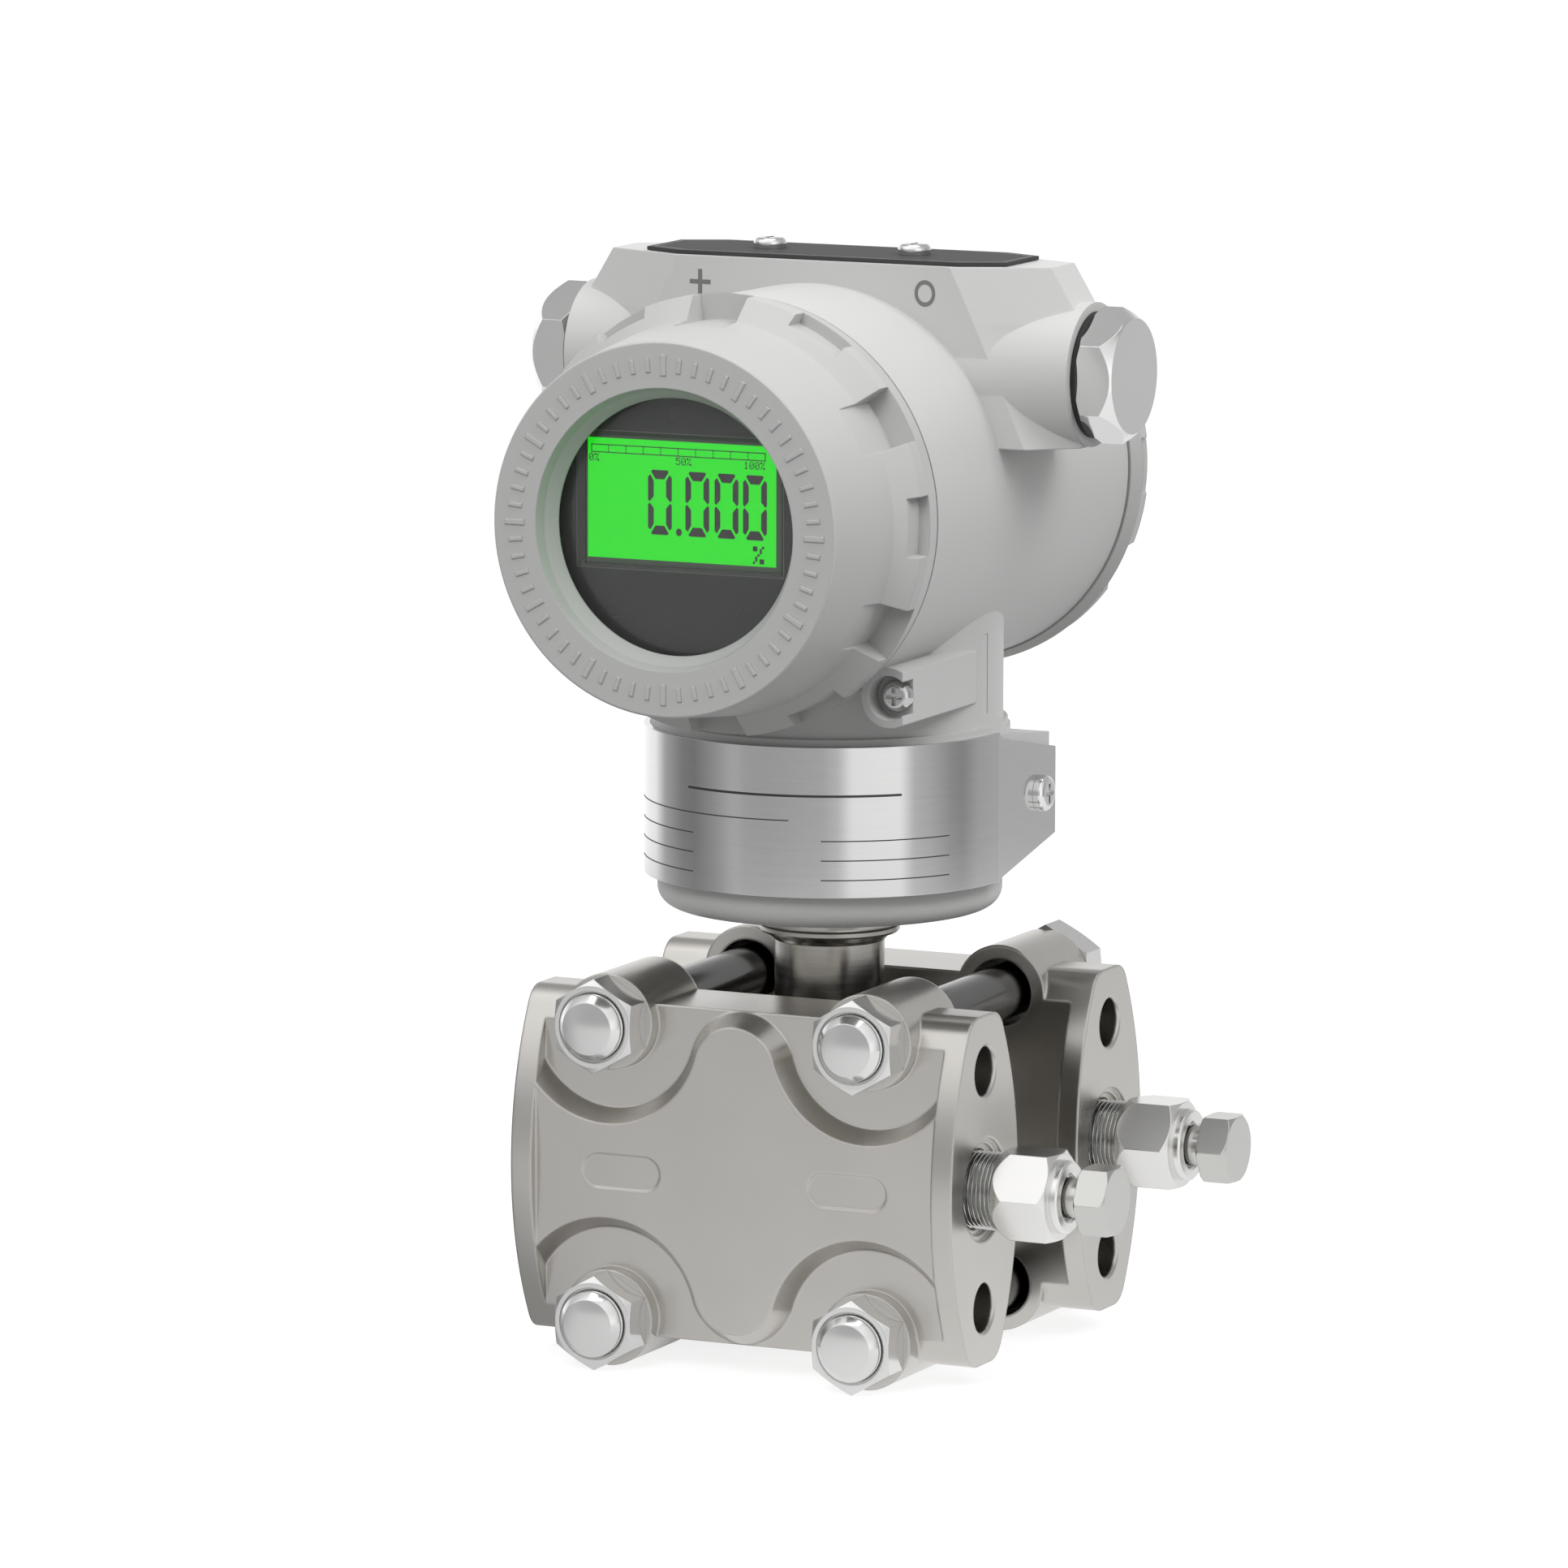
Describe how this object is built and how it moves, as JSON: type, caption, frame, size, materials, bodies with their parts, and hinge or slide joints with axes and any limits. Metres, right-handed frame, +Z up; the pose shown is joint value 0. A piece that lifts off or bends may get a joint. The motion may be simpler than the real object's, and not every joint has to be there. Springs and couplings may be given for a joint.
{
  "type": "pressure transmitter",
  "caption": "Differential pressure transmitter: bolted process flanges with side vents, turnable painted housing with window display, terminal cover and plugged cable entries.",
  "frame": {"origin": "on the neck axis, in the plane of the lowest points of the lower bolt bosses, on which it rests", "axes": "+Z up along the neck axis, -Y towards the display window, +X towards the vent valves, -X towards the open process ports"},
  "size_m": [0.1219, 0.1297, 0.1942],
  "materials": {
    "paint": "smooth satin paint",
    "cast_stainless": "satin cast stainless",
    "bright_stainless": "polished machined",
    "capsule_steel": "turned satin",
    "seal_rubber": "matte",
    "gasket_ptfe": "matte",
    "screw_chrome": "polished",
    "terminal_brass": "satin",
    "window": "clear",
    "bezel": "matte",
    "lcd": "lit display",
    "board": "solder mask",
    "black_plastic": "matte",
    "dark_plate": "dark anodised",
    "band_steel": "satin rolled sheet",
    "button_plastic": "matte"
  },
  "bodies": {
    "process_body": {"front_process_flange": "cast_stainless", "rear_process_flange": "cast_stainless", "flange_bolts": "bright_stainless", "flange_nuts": "bright_stainless", "sensor_capsule": "capsule_steel", "front_diaphragm": "capsule_steel", "rear_diaphragm": "capsule_steel", "front_capsule_gasket": "gasket_ptfe", "rear_capsule_gasket": "gasket_ptfe", "neck_seal": "seal_rubber", "neck_clip": "capsule_steel", "vent_valve_front": "bright_stainless", "vent_valve_rear": "bright_stainless"},
    "housing": {"housing": "paint", "display_module": "bezel", "lcd_panel": "lcd", "display_keys": "bezel", "electronics_board": "board", "board_standoffs": "capsule_steel", "terminal_block": "black_plastic", "terminal_screws": "terminal_brass", "conduit_plug_left": "bright_stainless", "conduit_plug_right": "bright_stainless", "conduit_seal_left": "seal_rubber", "conduit_seal_right": "seal_rubber", "nameplate": "dark_plate", "nameplate_screws": "screw_chrome", "label_band": "band_steel", "label_band_screw": "screw_chrome", "cover_lock_screw": "screw_chrome"},
    "front_cover": {"front_cover": "paint", "window_glass": "window", "window_retainer": "capsule_steel", "front_cover_seal": "seal_rubber"},
    "rear_cover": {"rear_cover": "paint", "rear_cover_seal": "seal_rubber"},
    "vent_stem_front": {"vent_stem_front": "bright_stainless"},
    "vent_stem_rear": {"vent_stem_rear": "bright_stainless"},
    "zero_button": {"zero_button": "button_plastic"},
    "span_button": {"span_button": "button_plastic"}
  },
  "joints": [
    {"name": "housing_turn", "type": "hinge", "parent": "process_body", "child": "housing", "pos_m": [0, 0, 0.0775], "axis": [0, 0, 1], "range_deg": [-180, 180]},
    {"name": "front_cover_turn", "type": "hinge", "parent": "housing", "child": "front_cover", "pos_m": [0, -0.045, 0.15067], "axis": [0, -1, 0], "continuous": true},
    {"name": "rear_cover_turn", "type": "hinge", "parent": "housing", "child": "rear_cover", "pos_m": [0, 0.052, 0.15067], "axis": [0, 1, 0], "continuous": true},
    {"name": "vent_stem_front_turn", "type": "hinge", "parent": "process_body", "child": "vent_stem_front", "pos_m": [0.055, -0.027, 0.0345], "axis": [1, 0, 0], "continuous": true},
    {"name": "vent_stem_rear_turn", "type": "hinge", "parent": "process_body", "child": "vent_stem_rear", "pos_m": [0.055, 0.027, 0.0345], "axis": [1, 0, 0], "continuous": true},
    {"name": "zero_button_press", "type": "slide", "parent": "housing", "child": "zero_button", "axis": [0, 0, -1], "range_m": [0, 0.0015], "stiffness_N_per_m": 800},
    {"name": "span_button_press", "type": "slide", "parent": "housing", "child": "span_button", "axis": [0, 0, -1], "range_m": [0, 0.0015], "stiffness_N_per_m": 800}
  ]
}
